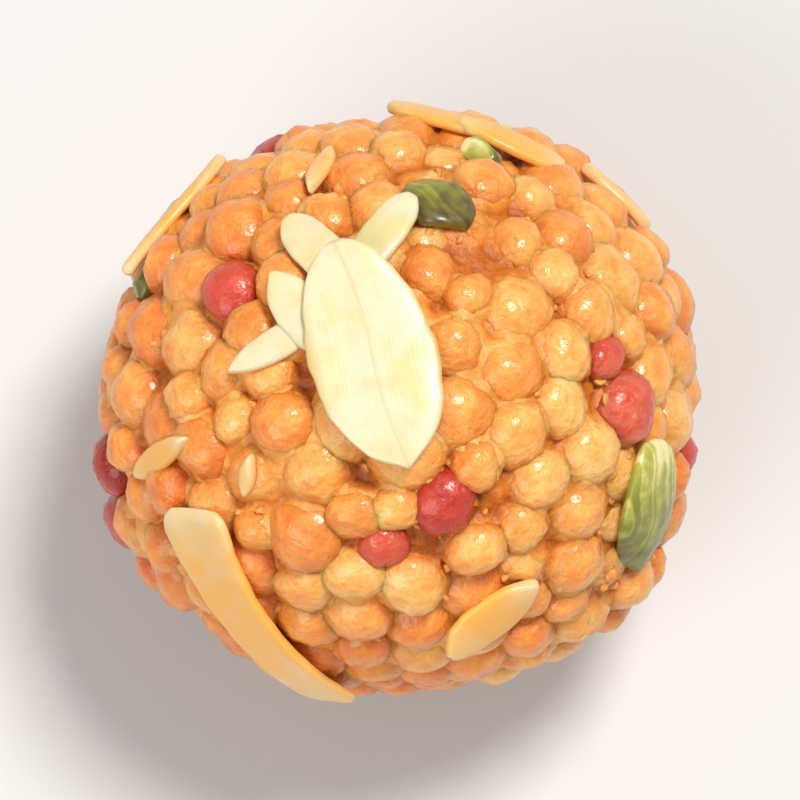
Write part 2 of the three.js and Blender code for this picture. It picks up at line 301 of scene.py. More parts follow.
slice_steps = np.linspace(0, 1, ALMOND_STATIONS)[:, None]
slice_turns = np.linspace(0, 2 * math.pi, ALMOND_ROUND, endpoint=False)[None, :]


def almond_slice(nut, number):
    """Points of one slice: cross-sections with eased edges, strung from its tip to its butt, then bent."""
    length, width, thickness = nut["length"], nut["width"], nut["thickness"]
    tip, butt, belly = nut["tip"], nut["butt"], nut.get("belly", 0)
    # with both controls at this height, the middle of the curve is half of the slice's width
    bulge = width / 2 * (4 / 3 - (tip + butt) / 6)
    fore, aft = length * (belly + 0.25), length * (belly - 0.25)
    x = bezier((length / 2, fore, aft, -length / 2), slice_steps)
    half_width = bezier((tip * width / 2, bulge, bulge, butt * width / 2), slice_steps)
    from_end = length / 2 - np.abs(x)
    ease = np.sqrt(np.clip(1 - np.clip(1 - from_end / EDGE_ROUNDING, 0, 1) ** 2, THINNEST, 1))
    corner = np.sqrt(1 - np.clip(1 - from_end / CORNER_ROUNDING, 0, ROUNDEST) ** 2)
    half_width = half_width - (1 - corner) * np.minimum(CORNER_ROUNDING, half_width * 0.9)
    nicks = np.sin(x / MM * 1.3 + number * 1.7) * 0.5 + np.sin(x / MM * 2.9 + number * 2.9) * 0.3
    # two would make an ellipse of the cross-section, and more makes it squarer, the wider slices most
    squareness = 2.2 + width / thickness / 4
    reach = np.abs(np.cos(slice_turns)) ** (2 / squareness) * np.sign(np.cos(slice_turns))
    rise = np.abs(np.sin(slice_turns)) ** (2 / squareness) * np.sign(np.sin(slice_turns))
    y = reach * half_width * (1 + NICKED * nicks * np.sign(reach))
    z = rise * ease * thickness / 2
    x = x + np.zeros_like(y)
    warp = WARPED_ALONG * np.sin(x / length * 4 + number)
    warp = warp + WARPED_ACROSS * np.sin(y / MM * 0.9 + number * 2.3)
    if nut["bend"]:
        warp = warp - x**2 / (2 * nut["bend"])
    local = np.stack([x, y, z + warp], axis=-1).reshape(-1, 3)
    placed = local @ nut["turn"].T + nut["centre"] + BALL_CENTRE
    placed[:, 2] = np.maximum(placed[:, 2], 0)
    return placed, local


def tube_faces(stations, around, start):
    """Quads along a string of cross-sections, closed at both ends."""
    faces = []
    for i in range(stations - 1):
        for j in range(around):
            k = (j + 1) % around
            row, following = start + i * around, start + (i + 1) * around
            faces.append((row + j, following + j, following + k, row + k))
    faces.append(tuple(start + j for j in range(around)))
    faces.append(tuple(start + (stations - 1) * around + j for j in reversed(range(around))))
    return faces


def stand_for_ladoo(piece):
    """Attaches a piece of the sweet under the root body, and hides the CAD solid that it stands for."""
    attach(piece, "root")
    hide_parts("ladoo")


def almond_piece(name, chosen):
    """One object of several slices."""
    points, faces, stains, grains, seams = [], [], [], [], []
    for number, nut in chosen:
        placed, local = almond_slice(nut, number)
        faces += tube_faces(ALMOND_STATIONS, ALMOND_ROUND, sum(len(p) for p in points))
        points.append(placed)
        stains.append(nut["stain"] * (1 - PALER_ENDS * (2 * local[:, 0] / nut["length"]) ** 2))
        wander = GRAIN_WANDER * np.sin(local[:, 0] / MM * 0.5 + number)
        grains.append(local[:, 1] / MM + wander + number * NEXT_GRAIN)
        bow = SEAM_WANDER * np.sin(local[:, 0] / MM * 0.35 + number)
        off_seam = (local[:, 1] + bow) / nut["width"] * 2
        seams.append(off_seam if nut["width"] > SEAM_FROM else np.full(len(placed), NO_SEAM))
    mesh = mesh_from(name, np.vstack(points), faces, stain=stains, grain=grains, seam=seams)
    mesh.materials.append(almond_flesh)
    stand_for_ladoo(new_object(name, mesh))


# Blanched almond flesh, sawn and lightly toasted: creamy and a little waxy, with faint fibres along the
# kernel, and amber where the syrup has soaked in
almond_flesh, tree, shader = new_material("blanched_almond")
stain = add_node(tree, "ShaderNodeAttribute", attribute_name="stain").outputs["Fac"]
grain = add_node(tree, "ShaderNodeAttribute", attribute_name="grain").outputs["Fac"]
spot = add_node(tree, "ShaderNodeTexCoord").outputs["Object"]
cloud = add_node(tree, "ShaderNodeTexNoise", {"Vector": spot, "Scale": 1 / (2.2 * MM), "Detail": 3})
soaked = add_node(
    tree, "ShaderNodeMath", {0: cloud.outputs["Fac"], 1: 0.9, 2: stain}, operation="MULTIPLY_ADD"
).outputs[0]
soaked = add_node(
    tree, "ShaderNodeMapRange", {"Value": soaked, "From Min": 0.4, "From Max": 1.35}, clamp=True
).outputs["Result"]
patches = add_node(tree, "ShaderNodeTexNoise", {"Vector": spot, "Scale": 1 / (4 * MM), "Detail": 2})
oily = add_node(
    tree,
    "ShaderNodeMapRange",
    {"Value": patches.outputs["Fac"], "From Min": 0.48, "From Max": 0.66},
    clamp=True,
).outputs["Result"]
fresh = add_node(
    tree, "ShaderNodeMix", {0: oily, 6: linear("#DFD8B6"), 7: linear("#D9D098")}, data_type="RGBA"
).outputs[2]
fresh_or_soaked = add_node(
    tree, "ShaderNodeMix", {0: soaked, 6: fresh, 7: linear("#F5B452")}, data_type="RGBA"
).outputs[2]
fibres = add_node(
    tree, "ShaderNodeTexNoise", {"W": grain, "Scale": 1 / FIBRES_APART, "Detail": 2}, noise_dimensions="1D"
).outputs["Fac"]
seam = add_node(tree, "ShaderNodeAttribute", attribute_name="seam").outputs["Fac"]
from_seam = add_node(tree, "ShaderNodeMath", {0: seam}, operation="ABSOLUTE").outputs[0]
seam_shade = add_node(tree, "ShaderNodeValToRGB", {"Fac": from_seam})
seam_shade.color_ramp.elements[0].color = linear("#FAF2E2")
seam_shade.color_ramp.elements[1].color = linear("#F2DDB4")
for position in (0.05, 0.8):
    seam_shade.color_ramp.elements.new(position).color = linear("#FFFFFF")
shaded = add_node(
    tree,
    "ShaderNodeMix",
    {0: 1.0, 6: fresh_or_soaked, 7: seam_shade.outputs["Color"]},
    data_type="RGBA",
    blend_type="MULTIPLY",
).outputs[2]
darkness = add_node(
    tree,
    "ShaderNodeMapRange",
    {"Value": fibres, "From Min": 0.35, "From Max": 0.75, "To Max": 0.09},
    clamp=True,
).outputs["Result"]
fibrous = add_node(
    tree, "ShaderNodeMix", {0: darkness, 6: shaded, 7: linear("#C89A58")}, data_type="RGBA"
).outputs[2]
tree.links.new(fibrous, shader.inputs["Base Color"])
shader.inputs["Roughness"].default_value = 0.42
shader.inputs["IOR"].default_value = 1.46
shader.inputs["Subsurface Weight"].default_value = 0.35
shader.inputs["Subsurface Radius"].default_value = (1.0, 0.75, 0.45)
shader.inputs["Subsurface Scale"].default_value = 0.8 * MM
shader.inputs["Coat Weight"].default_value = 0.25
shader.inputs["Coat Roughness"].default_value = 0.2
fibre_bump = add_node(
    tree, "ShaderNodeBump", {"Height": fibres, "Strength": 0.35, "Distance": 0.08 * MM}
).outputs["Normal"]
tree.links.new(fibre_bump, shader.inputs["Normal"])

numbered = list(enumerate(almonds))
almond_piece("almond_flake", numbered[:1])
almond_piece("almond_slivers", numbered[1:])

# ---------------------------------------------------------------- Pistachios
# Green pistachios, chopped with a knife: rounded lumps with a waxy dark skin and paler cut faces. Like the
# almonds they are pressed in as the ball is rolled.
PISTACHIO_FINENESS = 4
KNIFE_CUTS = 7
CUTS_PASS = (0.68, 0.95)  # how far out, in shares of the half-size
CUT_AWAY = 0.9  # how much of what a cut passes it takes off
CUT_BLEND = 0.08  # how deep a cut bares the flesh wholly
PALER_CUT = 0.1
KERNEL_LUMPS, KERNEL_LUMP_WIDTH = 0.05, 0.8  # in shares of the half-size
STREAKS_APART = 0.625  # in mm, as are the two that follow
STREAK_WANDER = 0.25
NEXT_STREAKS = 9  # how far along the pattern the next piece's streaks begin


def sphere_points(fineness):
    """Points and faces of a geodesic ball, one unit in radius."""
    ball = bmesh.new()
    bmesh.ops.create_icosphere(ball, subdivisions=fineness, radius=1)
    points = np.array([tuple(v.co) for v in ball.verts])
    faces = np.array([[v.index for v in f.verts] for f in ball.faces])
    ball.free()
    return points, faces


def waves(points, width, number):
    """Soft lumps, from -1 to 1, about as wide as given."""
    turns = points / width * math.pi
    x, y, z = turns[..., 0], turns[..., 1], turns[..., 2]
    swells = np.sin(x + 1.3 * y + number) + np.sin(1.7 * y - z + 2.1 * number)
    return (swells + np.sin(1.2 * z - 0.8 * x + number)) / 3


geodesic, geodesic_faces = sphere_points(PISTACHIO_FINENESS)
points, faces, cuts, streaks = [], [], [], []
for number, nut in enumerate(pistachios):
    chop = Dice(number + 5)
    shape = geodesic.copy()
    bared = np.zeros(len(shape))
    for _ in range(KNIFE_CUTS):
        knife = np.array([chop.roll(-1, 1), chop.roll(-1, 1), chop.roll(-0.3, 1)])
        knife /= np.linalg.norm(knife)
        passed = shape @ knife - chop.roll(*CUTS_PASS)
        shape -= np.outer(np.clip(passed, 0, None) * CUT_AWAY, knife)
        bared = np.maximum(bared, np.clip(passed / CUT_BLEND, 0, 1))
    shape *= 1 + KERNEL_LUMPS * waves(shape, KERNEL_LUMP_WIDTH, number)[:, None]
    local = shape * [nut["length"] / 2, nut["width"] / 2, nut["thickness"] / 2]
    if nut["bend"]:
        local[:, 2] -= local[:, 0] ** 2 / (2 * nut["bend"])
    cuts.append(nut["paleness"] + nut["fade"] * geodesic[:, 0] + PALER_CUT * bared)
    wander = STREAK_WANDER * np.sin(local[:, 0] / MM * 1.1 + number)
    streaks.append(local[:, 1] / MM + wander + NEXT_STREAKS * number)
    faces.append(geodesic_faces + sum(len(p) for p in points))
    points.append(local @ nut["turn"].T + nut["centre"] + BALL_CENTRE)
mesh = mesh_from("pistachios", np.vstack(points), np.vstack(faces), cut=cuts, streak=streaks)

# Pistachio kernel: olive-green flesh under a dark purplish skin, pale yellow-green where it is cut, waxy,
# and glossed by the syrup
pistachio_flesh, tree, shader = new_material("chopped_pistachio")
cut = add_node(tree, "ShaderNodeAttribute", attribute_name="cut").outputs["Fac"]
spot = add_node(tree, "ShaderNodeTexCoord").outputs["Object"]
streak = add_node(tree, "ShaderNodeAttribute", attribute_name="streak").outputs["Fac"]
lines = add_node(
    tree, "ShaderNodeTexNoise", {"W": streak, "Scale": 1 / STREAKS_APART, "Detail": 3}, noise_dimensions="1D"
).outputs["Fac"]
mottle = add_node(tree, "ShaderNodeTexNoise", {"Vector": spot, "Scale": 1 / (1.3 * MM), "Detail": 4})
streaks = add_node(
    tree, "ShaderNodeMath", {0: lines, 1: 0.9, 2: mottle.outputs["Fac"]}, operation="MULTIPLY_ADD"
).outputs[0]
streaky = add_node(
    tree,
    "ShaderNodeMapRange",
    {"Value": streaks, "From Min": 0.75, "From Max": 1.15, "To Min": 0.22, "To Max": 0.44},
).outputs["Result"]
paleness = add_node(tree, "ShaderNodeMath", {0: streaky, 1: cut}, operation="ADD").outputs[0]
shades = add_node(tree, "ShaderNodeValToRGB", {"Fac": paleness})
shades.color_ramp.elements[0].position = 0.3
shades.color_ramp.elements[0].color = linear("#483E1E")
shades.color_ramp.elements[1].position = 1.0
shades.color_ramp.elements[1].color = linear("#EEE2A2")
for position, colour in ((0.48, "#6E642C"), (0.64, "#868A2E"), (0.82, "#B4B450")):
    shades.color_ramp.elements.new(position).color = linear(colour)
tree.links.new(shades.outputs["Color"], shader.inputs["Base Color"])
shader.inputs["Roughness"].default_value = 0.38
shader.inputs["IOR"].default_value = 1.46
shader.inputs["Subsurface Weight"].default_value = 0.25
shader.inputs["Subsurface Radius"].default_value = (0.8, 1.0, 0.3)
shader.inputs["Subsurface Scale"].default_value = 0.6 * MM
shader.inputs["Coat Weight"].default_value = 0.4
shader.inputs["Coat Roughness"].default_value = 0.15
nut_bump = add_node(
    tree, "ShaderNodeBump", {"Height": streaks, "Strength": 0.4, "Distance": 0.2 * MM}
).outputs["Normal"]
tree.links.new(nut_bump, shader.inputs["Normal"])
mesh.materials.append(pistachio_flesh)
stand_for_ladoo(new_object("pistachios", mesh))

# ---------------------------------------------------------------- Boondi
# Drops of gram-flour batter, fried in ghee and soaked in syrup until they are plump. Pressed together in
# the palms, they lie as close as they can, flattened against each other, and sink under the nuts.
BOONDI_WIDTH = 4.7 * MM
BOONDI_SIZE_SPREAD = 0.25  # share by which a boondi is larger or smaller than most
BOONDI_SQUEEZE = 1.2  # how much wider it is than deep, for being pressed against the others
BOONDI_LIFT = 0.35 * MM  # how far a crown stands above or below its neighbours'
BOONDI_COVER = 0.85  # share of the ball's skin that they cover
BOONDI_SEED = 20
SHAKE = 0.22  # the range that they are shaken over, out of an even spread, in shares of the ball's radius
SETTLING_ROUNDS = 40
CLOSENESS = 0.97  # centres come no nearer than this share of the touching distance
GOLDEN_ANGLE = math.pi * (3 - math.sqrt(5))
RED_BOONDI = [
    # bearing, fall, width and lift of those that are held in place while the rest settle round them
    (157, 39, 4.8, 0.2),
    (1.5, 44.5, 3.4, 0),
    (-10, 52, 5.6, 0.5),
    (-73.5, 32, 4.8, 0.3),
    (-95, 39.5, 3.6, -0.1),
    (-166, 84, 4.6, 0.3),
    (-12, 90, 4.4, 0),
    (117, 86, 5, 0.2),
]
FOOT = (0, 180, 4.7, 0)  # the boondi that the ball stands on
NUT_BITE = 0.45 * MM  # how deep a nut is pressed into the boondi under it
MOST_SUNK = 1.2 * MM  # how far it pushes them in

bed_radius = LADOO_RADIUS - BOONDI_WIDTH / 2
count = round(BOONDI_COVER * 16 * bed_radius**2 / BOONDI_WIDTH**2)
dice = Dice(BOONDI_SEED)
outward = np.zeros((count, 3))
radius, lift = np.zeros((2, count))
for i in range(count):
    height = 1 - (2 * i + 1) / count
    reach = math.sqrt(1 - height**2)
    spot = np.array([reach * math.cos(i * GOLDEN_ANGLE), reach * math.sin(i * GOLDEN_ANGLE), height])
    spot += np.array([dice.roll(-1, 1), dice.roll(-1, 1), dice.roll(-1, 1)]) * SHAKE / 2
    outward[i] = spot / np.linalg.norm(spot)
    radius[i] = BOONDI_WIDTH / 2 * (1 + BOONDI_SIZE_SPREAD * dice.roll(-1, 1))
    lift[i] = BOONDI_LIFT * dice.roll(-1, 1)
held = []
for bearing, fall, width, raised in [*RED_BOONDI, FOOT]:
    nearness = outward @ outward_at(bearing, fall)
    nearness[held] = -2
    held.append(int(np.argmax(nearness)))
    outward[held[-1]] = outward_at(bearing, fall)
    radius[held[-1]] = width / 2 * MM
    lift[held[-1]] = raised * MM
for _ in range(SETTLING_ROUNDS):
    apart = outward[:, None] - outward[None, :]
    distance = np.linalg.norm(apart, axis=-1) + 2 * np.eye(count)
    wanted = CLOSENESS * (radius[:, None] + radius[None, :]) / bed_radius
    push = np.clip(wanted - distance, 0, None) / distance / 2
    moves = (push[..., None] * apart).sum(axis=1)
    moves[held] = 0
    outward = outward + moves
    outward /= np.linalg.norm(outward, axis=1, keepdims=True)
centre = outward * (skin_radius(outward) + lift - radius)[:, None]
for nut in almonds + pistachios:
    seen = (centre - nut["centre"]) @ nut["turn"]
    off_end = seen[:, 0] / (nut["length"] / 2 + radius / 2)
    off_side = seen[:, 1] / (nut["width"] / 2 + radius / 2)
    inside = off_end**2 + off_side**2
    above = seen[:, 2] + radius - (NUT_BITE - nut["thickness"] / 2)
    sinks = (inside < 1) & (above > 0) & (seen[:, 2] < radius)
    centre -= outward * (sinks * np.minimum(above, MOST_SUNK))[:, None]


def geometry_tree(name, sizes):
    """An empty geometry tree with named number inputs and a material: the tree, and its two ends."""
    grown = bpy.data.node_groups.new(name, "GeometryNodeTree")
    grown.interface.new_socket("Geometry", in_out="INPUT", socket_type="NodeSocketGeometry")
    for size in sizes:
        grown.interface.new_socket(size, in_out="INPUT", socket_type="NodeSocketFloat")
    grown.interface.new_socket("Material", in_out="INPUT", socket_type="NodeSocketMaterial")
    grown.interface.new_socket("Geometry", in_out="OUTPUT", socket_type="NodeSocketGeometry")
    return grown, add_node(grown, "NodeGroupInput").outputs, add_node(grown, "NodeGroupOutput").inputs


def grow(name, seedbed, grown, values):
    """Runs a geometry tree on a mesh and keeps what it makes as a plain mesh."""
    carrier = new_object(name + "_carrier", seedbed)
    modifier = carrier.modifiers.new("grow", "NODES")
    modifier.node_group = grown
    for item in grown.interface.items_tree:
        if item.in_out == "INPUT" and item.name in values:
            modifier[item.identifier] = values[item.name]
    depsgraph = bpy.context.evaluated_depsgraph_get()
    mesh = bpy.data.meshes.new_from_object(carrier.evaluated_get(depsgraph))
    mesh.name = name
    carrier.modifiers.clear()
    bpy.data.objects.remove(carrier)
    return mesh


# Each point becomes a lumpy ball of its own size, its long way along the skin, with its rings of faces
# crowded toward the crown, where they show.
drops, given, result = geometry_tree("boondi_drops", ["Crowding", "Lumpiness", "Lump width"])
DROP_SEGMENTS, DROP_RINGS = 12, 6
ball = add_node(
    drops, "GeometryNodeMeshUVSphere", {"Segments": DROP_SEGMENTS, "Rings": DROP_RINGS, "Radius": 1.0}
)
where = add_node(drops, "GeometryNodeInputPosition").outputs[0]
apart = add_node(drops, "ShaderNodeSeparateXYZ", {"Vector": where}).outputs
even = add_node(drops, "ShaderNodeMath", {0: apart["Z"]}, operation="ARCCOSINE").outputs[0]
polar = add_node(drops, "ShaderNodeMath", {0: even, 1: given["Crowding"]}, operation="MULTIPLY").outputs[0]
reach = add_node(drops, "ShaderNodeMath", {0: polar}, operation="SINE").outputs[0]
height = add_node(drops, "ShaderNodeMath", {0: polar}, operation="COSINE").outputs[0]
flat = add_node(drops, "ShaderNodeCombineXYZ", {"X": apart["X"], "Y": apart["Y"]}).outputs[0]
aside = add_node(drops, "ShaderNodeVectorMath", {0: flat}, operation="NORMALIZE").outputs[0]
aside = add_node(drops, "ShaderNodeVectorMath", {0: aside, "Scale": reach}, operation="SCALE").outputs[0]
upward = add_node(drops, "ShaderNodeCombineXYZ", {"Z": height}).outputs[0]
crowded = add_node(drops, "ShaderNodeVectorMath", {0: aside, 1: upward}, operation="ADD").outputs[0]
dome = add_node(drops, "GeometryNodeSetPosition", {"Geometry": ball.outputs["Mesh"], "Position": crowded})
drop = add_node(
    drops,
    "GeometryNodeStoreNamedAttribute",
    {"Geometry": dome.outputs["Geometry"], "Name": "crown", "Value": height},
    data_type="FLOAT",
    domain="POINT",
)
size = add_node(drops, "GeometryNodeInputNamedAttribute", {"Name": "size"}, data_type="FLOAT_VECTOR")
way_out = add_node(drops, "GeometryNodeInputNamedAttribute", {"Name": "way_out"}, data_type="FLOAT_VECTOR")
turned = add_node(drops, "GeometryNodeInputNamedAttribute", {"Name": "spin"}, data_type="FLOAT")
upright = add_node(
    drops, "FunctionNodeAlignRotationToVector", {"Vector": way_out.outputs["Attribute"]}, axis="Z"
)
spun = add_node(drops, "FunctionNodeAxisAngleToRotation", {"Angle": turned.outputs["Attribute"]})
rotation = add_node(
    drops,
    "FunctionNodeRotateRotation",
    {"Rotation": upright.outputs["Rotation"], "Rotate By": spun.outputs["Rotation"]},
    rotation_space="LOCAL",
)
placed = add_node(
    drops,
    "GeometryNodeInstanceOnPoints",
    {
        "Points": given["Geometry"],
        "Instance": drop.outputs["Geometry"],
        "Rotation": rotation.outputs["Rotation"],
        "Scale": size.outputs["Attribute"],
    },
)
real = add_node(drops, "GeometryNodeRealizeInstances", {"Geometry": placed.outputs["Instances"]})
fineness = add_node(drops, "ShaderNodeMath", {0: 1.0, 1: given["Lump width"]}, operation="DIVIDE")
lumps = add_node(drops, "ShaderNodeTexNoise", {"Vector": where, "Scale": fineness.outputs[0], "Detail": 2.0})
signed = add_node(drops, "ShaderNodeMath", {0: lumps.outputs["Fac"], 1: 0.5}, operation="SUBTRACT")
swell = add_node(
    drops, "ShaderNodeMath", {0: signed.outputs[0], 1: given["Lumpiness"]}, operation="MULTIPLY"
)
normal = add_node(drops, "GeometryNodeInputNormal").outputs[0]
offset = add_node(
    drops, "ShaderNodeVectorMath", {0: normal, "Scale": swell.outputs[0]}, operation="SCALE"
).outputs[0]
lumpy = add_node(drops, "GeometryNodeSetPosition", {"Geometry": real.outputs["Geometry"], "Offset": offset})
smooth = add_node(drops, "GeometryNodeSetShadeSmooth", {"Geometry": lumpy.outputs["Geometry"]})
coloured = add_node(
    drops, "GeometryNodeSetMaterial", {"Geometry": smooth.outputs["Geometry"], "Material": given["Material"]}
)
drops.links.new(coloured.outputs["Geometry"], result["Geometry"])

DROP_CROWDING = 0.73  # the share of a half turn that its rings of faces cover
DROP_LUMPINESS = 1.3 * MM
DROP_LUMP_WIDTH = 2.3 * MM
BOONDI_STRETCH = 0.16  # how much longer than wide the most misshapen ones are
TONES = (-0.1, 0.24)  # how much darker or paler one drop is than another
PALER_SIDE = (5, 42)  # the side toward which the drops are palest: bearing and fall
PALER = 0.18
BATCH_SHADE = 0.09  # how much patches of the skin differ in shade
BATCH_PATCH = 11 * MM


def boondi_piece(name, chosen, material):
    """One object of the chosen boondi, flattened where the sweet stands on them."""
    seedbed = bpy.data.meshes.new(name)
    seedbed.from_pydata((centre[chosen] + BALL_CENTRE).tolist(), [], [])
    longer = stretch[chosen] ** 0.5
    wide = BOONDI_SQUEEZE * radius[chosen]
    sizes = np.column_stack([wide * longer, wide / longer, radius[chosen]])
    for key, values in (("size", sizes), ("way_out", outward[chosen])):
        seedbed.attributes.new(key, "FLOAT_VECTOR", "POINT").data.foreach_set("vector", values.ravel())
    for key, values in (("spin", spin[chosen]), ("tone", tone[chosen])):
        seedbed.attributes.new(key, "FLOAT", "POINT").data.foreach_set("value", values)
    shape = {"Crowding": DROP_CROWDING, "Lumpiness": DROP_LUMPINESS, "Lump width": DROP_LUMP_WIDTH}
    mesh = grow(name, seedbed, drops, shape | {"Material": material})
    finish_skin(mesh)
    stand_for_ladoo(new_object(name, mesh))


def finish_skin(mesh, lowest=0.01 * MM):
    """Flattens a mesh at a height above the table, and notes in mm how deep below the skin it lies."""
    points = np.zeros(len(mesh.vertices) * 3)
    mesh.vertices.foreach_get("co", points)
    points = points.reshape(-1, 3)
    points[:, 2] = np.maximum(points[:, 2], lowest)
    mesh.vertices.foreach_set("co", points.ravel())
    from_centre = points - BALL_CENTRE
    distance = np.linalg.norm(from_centre, axis=1)
    depth = (skin_radius(from_centre / distance[:, None]) - distance) / MM
    known = mesh.attributes.get("depth") or mesh.attributes.new("depth", "FLOAT", "POINT")
    known.data.foreach_set("value", depth.astype(np.float32))
    mesh.update()


def boondi_material(name, ramp, syrup_and_shade_colour):
    """The skin of a fried drop: mottled, soft to the light, and redder in the gaps and toward its sides,
    partly from syrup gathered there and partly as painted shade.
    """
    made, tree, shader = new_material(name)
    spot = add_node(tree, "ShaderNodeTexCoord").outputs["Object"]
    tone_in = add_node(tree, "ShaderNodeAttribute", attribute_name="tone").outputs["Fac"]
    depth_in = add_node(tree, "ShaderNodeAttribute", attribute_name="depth").outputs["Fac"]
    crown_in = add_node(tree, "ShaderNodeAttribute", attribute_name="crown").outputs["Fac"]
    blotches = add_node(tree, "ShaderNodeTexNoise", {"Vector": spot, "Scale": 1 / (1.8 * MM), "Detail": 4})
    mottled = add_node(
        tree, "ShaderNodeMath", {0: blotches.outputs["Fac"], 1: 0.9, 2: tone_in}, operation="MULTIPLY_ADD"
    ).outputs[0]
    shades = add_node(tree, "ShaderNodeValToRGB", {"Fac": mottled})
    darkest, palest = shades.color_ramp.elements
    darkest.position, darkest.color = 0.25, linear(ramp[0])
    palest.position, palest.color = 1.0, linear(ramp[-1])
    for k, colour in enumerate(ramp[1:-1], 1):
        shades.color_ramp.elements.new(0.25 + 0.75 * k / (len(ramp) - 1)).color = linear(colour)
    # Painted shade: toward each drop's sides, and deeper below the skin in the gaps, the colour is mixed
    # toward the syrup colour; partly syrup gathered there, partly shade painted in
    rim = add_node(
        tree,
        "ShaderNodeMapRange",
        {"Value": crown_in, "From Min": 0.9, "From Max": 0.25, "To Max": 0.8},
        clamp=True,
    ).outputs["Result"]
    syrup_and_painted_shade = add_node(
        tree,
        "ShaderNodeMapRange",
        {"Value": depth_in, "From Min": 1.0, "From Max": 3.0, "To Max": 0.6},
        clamp=True,
    ).outputs["Result"]
    syrup_and_painted_shade = add_node(tree, "ShaderNodeMath", {0: rim, 1: syrup_and_painted_shade}, operation="MAXIMUM").outputs[0]
    stained_and_shaded = add_node(
        tree,
        "ShaderNodeMix",
        {0: syrup_and_painted_shade, 6: shades.outputs["Color"], 7: linear(syrup_and_shade_colour)},
        data_type="RGBA",
    ).outputs[2]
    tree.links.new(stained_and_shaded, shader.inputs["Base Color"])
    pores = add_node(tree, "ShaderNodeTexNoise", {"Vector": spot, "Scale": 1 / (0.5 * MM), "Detail": 3})
    blisters = add_node(
        tree, "ShaderNodeTexVoronoi", {"Vector": spot, "Scale": 1 / (0.9 * MM)}, feature="SMOOTH_F1"
    )
    relief = add_node(
        tree,
        "ShaderNodeMath",
        {0: blisters.outputs["Distance"], 1: 0.6, 2: pores.outputs["Fac"]},
        operation="MULTIPLY_ADD",
    ).outputs[0]
    bump = add_node(tree, "ShaderNodeBump", {"Height": relief, "Strength": 0.7, "Distance": 0.4 * MM})
    tree.links.new(bump.outputs["Normal"], shader.inputs["Normal"])
    glaze = add_node(
        tree, "ShaderNodeBump", {"Height": pores.outputs["Fac"], "Strength": 0.35, "Distance": 0.2 * MM}
    )
    tree.links.new(glaze.outputs["Normal"], shader.inputs["Coat Normal"])
    dryness = add_node(
        tree,
        "ShaderNodeMapRange",
        {"Value": pores.outputs["Fac"], "From Min": 0.35, "From Max": 0.65, "To Min": 0.3, "To Max": 0.55},
        clamp=True,
    ).outputs["Result"]
    tree.links.new(dryness, shader.inputs["Roughness"])
    shader.inputs["IOR"].default_value = 1.45
    shader.inputs["Subsurface Weight"].default_value = 0.65
    shader.inputs["Subsurface Radius"].default_value = (1.0, 0.42, 0.14)
    shader.inputs["Subsurface Scale"].default_value = 1.6 * MM
    shader.inputs["Coat Weight"].default_value = 0.5
    shader.inputs["Coat Roughness"].default_value = 0.12
    return made


chance = np.random.default_rng(BOONDI_SEED)
stretch = chance.uniform(1, 1 + BOONDI_STRETCH, count)
spin = chance.uniform(0, math.pi, count)
tone = chance.uniform(*TONES, count) + PALER * outward @ outward_at(*PALER_SIDE)
tone += BATCH_SHADE * waves(outward * LADOO_RADIUS, BATCH_PATCH, 2)
is_red = np.zeros(count, bool)
is_red[held[: len(RED_BOONDI)]] = True
RED_SHARE = 0.05  # of those low on the ball
is_red |= (chance.random(count) < RED_SHARE) & (outward[:, 2] < 0)

# Fried gram flour soaked in saffron-coloured syrup: orange to golden, glossy, glowing at thin edges, and
# redder in the gaps and toward each drop's sides, partly from syrup and partly as painted shade
golden = boondi_material("syrup_soaked_boondi", ["#E27C2C", "#EE9740", "#F6B45C", "#FBCB80"], "#CC5414")
boondi_piece("boondi_golden", np.flatnonzero(~is_red), golden)

# ---------------------------------------------------------------- Red boondi
# A few drops of the same batter, dyed red before frying. They are strewn among the golden ones, are as large
# and as lumpy, and are held in place by the same syrup.

# Food dye stains the flour evenly: deep red, pinker where the skin is thin, under the same syrup, and darker
# in the gaps and toward each drop's sides, partly as painted shade
dyed = boondi_material("red_dyed_boondi", ["#AE281A", "#C43C28", "#D25238", "#E2805E"], "#8A180C")
boondi_piece("boondi_red", np.flatnonzero(is_red), dyed)

# ---------------------------------------------------------------- Syrup and crushed boondi between
# Boondi crushed in the rolling, and the syrup that binds them, fill the ball and stand in the gaps between
# the drops, drawn up a little where two of them touch.
FILLING_FINENESS = 7
FILLING_DEPTH = 2.6 * MM  # how far below the skin its deepest places lie
LOWER_LAYER = 1.75 * MM  # how far below the skin the crowns of the next layer of boondi lie
DRAWN_UP = 0.6 * MM  # how soft the fillets are where it is drawn up between two drops
NEARBY = math.cos(math.radians(9))  # a drop reaches no farther than this round its own way out
BELOW_CROWNS = 0.5 * MM  # how far below the skin of the drops it stands
FULLER_BY = 0.25 * MM  # how much higher or lower patches of it stand
FULLER_PATCH = 8 * MM
OFF_THE_RED = 0.5 * MM  # how much lower it stands round a red drop, so that its red shows clean
CLEAR_OF_RED = 1.5  # how far round it, in shares of its radius
CRUSHED = 0.35 * MM  # how rough the crushed boondi leave it
CRUSHED_BITS, CRUSHED_CLUMPS = 1.3 * MM, 2.1 * MM
LOWEST_FILLING = 0.4 * MM  # above the table
directions, filling_faces = sphere_points(FILLING_FINENESS)
reach = np.exp((-FILLING_DEPTH + BELOW_CROWNS) / DRAWN_UP) * np.ones(len(directions))
level = skin_radius(directions)
